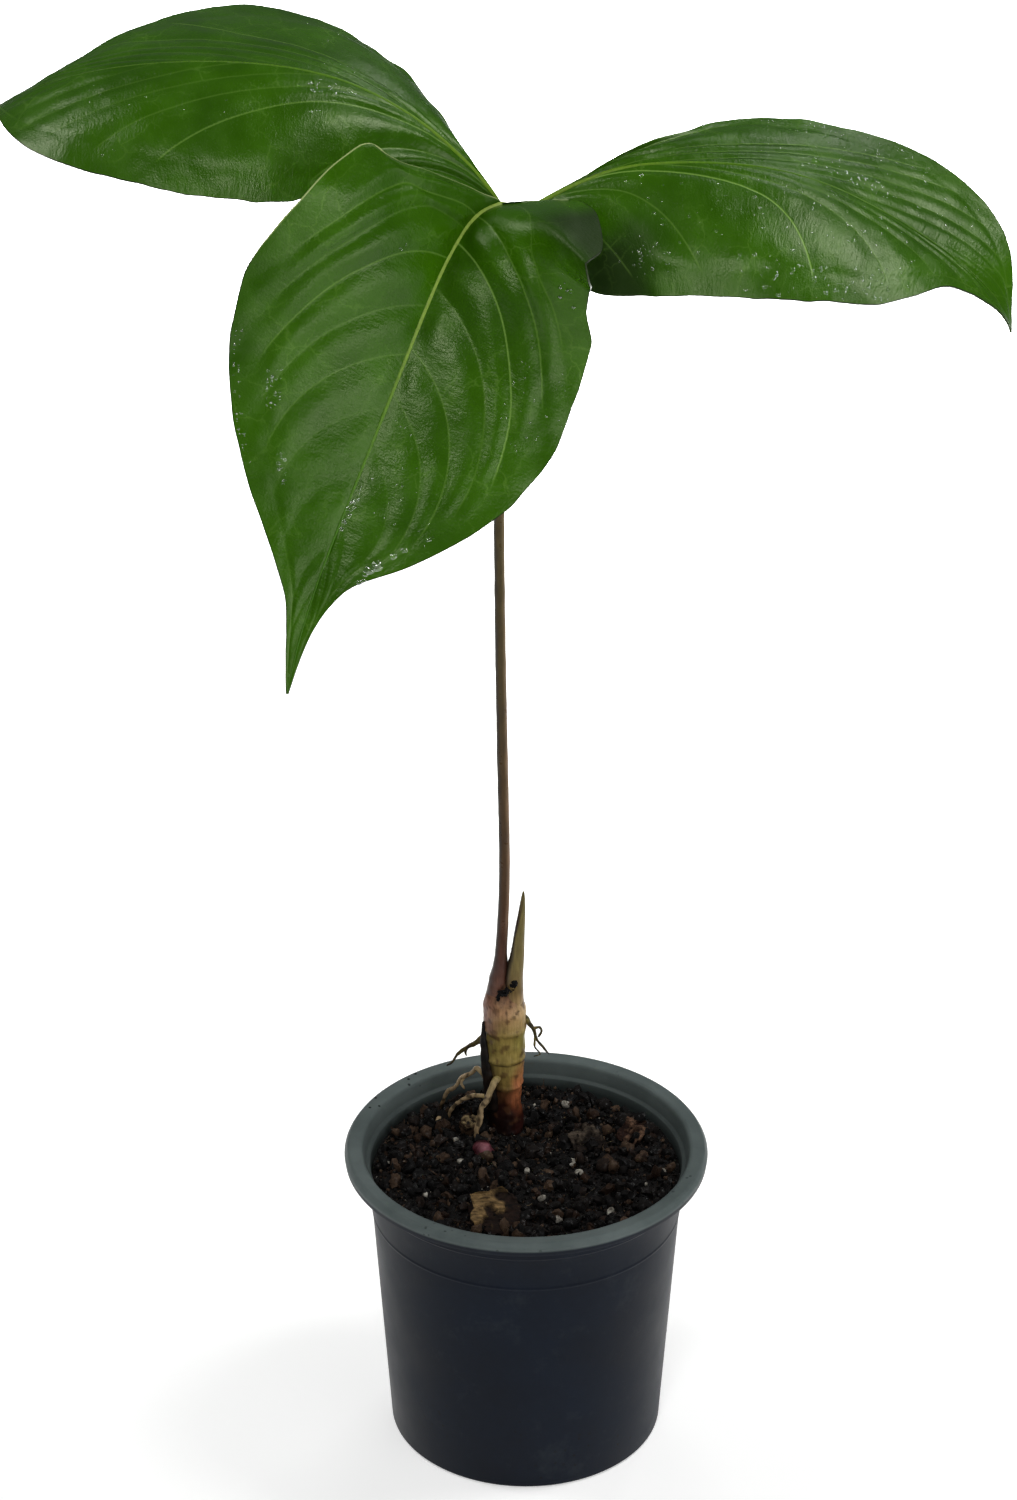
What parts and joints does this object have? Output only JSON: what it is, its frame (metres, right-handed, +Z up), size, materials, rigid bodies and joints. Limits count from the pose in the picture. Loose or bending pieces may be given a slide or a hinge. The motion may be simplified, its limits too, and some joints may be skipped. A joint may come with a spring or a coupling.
{
  "type": "potted anthurium pinkleyi",
  "caption": "Young potted anthurium with one leaf of three glossy quilted leaflets on a thin petiole, short ringed stem, new leaf in its sheath, potting mix and a round tapered plant pot.",
  "frame": {"origin": "centre of the pot's underside, on the surface that the pot stands on", "axes": "+Z up along the pot's axis, +X to the right and -Y towards the viewer of the pictured front"},
  "size_m": [0.3, 0.1361, 0.4743],
  "materials": {
    "pot_plastic": "moulded dark slate-blue polypropylene, satin, with a greener grey lip and light dust",
    "potting_mix": "moist black-brown peat and bark crumbs, matt with small wet glints",
    "stem_bark": "olive-tan stem skin with dark ring scars, dark red at its foot, roots dark olive to beige, satin",
    "petiole_skin": "reddish-brown to olive-brown petiole skin, satin",
    "spear_skin": "olive new leaf with brown sheath streaks, satin",
    "leaf_blade": "glossy mid-green blade with sunken yellow-green side veins and a pale margin, water droplets",
    "bud_skin": "dusky pink bud tip, satin",
    "bark": "layered brown bark chip with split fibres, matt",
    "fibre": "beige coir shreds, matt",
    "perlite": "off-white expanded mineral grain, matt and finely pitted"
  },
  "bodies": {
    "root": {"pot": "pot_plastic", "soil": "potting_mix", "stem": "stem_bark", "petiole": "petiole_skin", "new_leaf": "spear_skin", "leaflet_front": "leaf_blade", "leaflet_right": "leaf_blade", "leaflet_left": "leaf_blade", "basal_bud": "bud_skin", "bark_front": "bark", "bark_right_inner": "bark", "bark_right_outer": "bark", "fibre_shred": "fibre", "perlite_01": "perlite", "perlite_02": "perlite", "perlite_03": "perlite", "perlite_04": "perlite", "perlite_05": "perlite", "perlite_06": "perlite", "perlite_07": "perlite", "perlite_08": "perlite", "perlite_09": "perlite", "perlite_10": "perlite", "perlite_11": "perlite", "perlite_12": "perlite"}
  },
  "joints": []
}
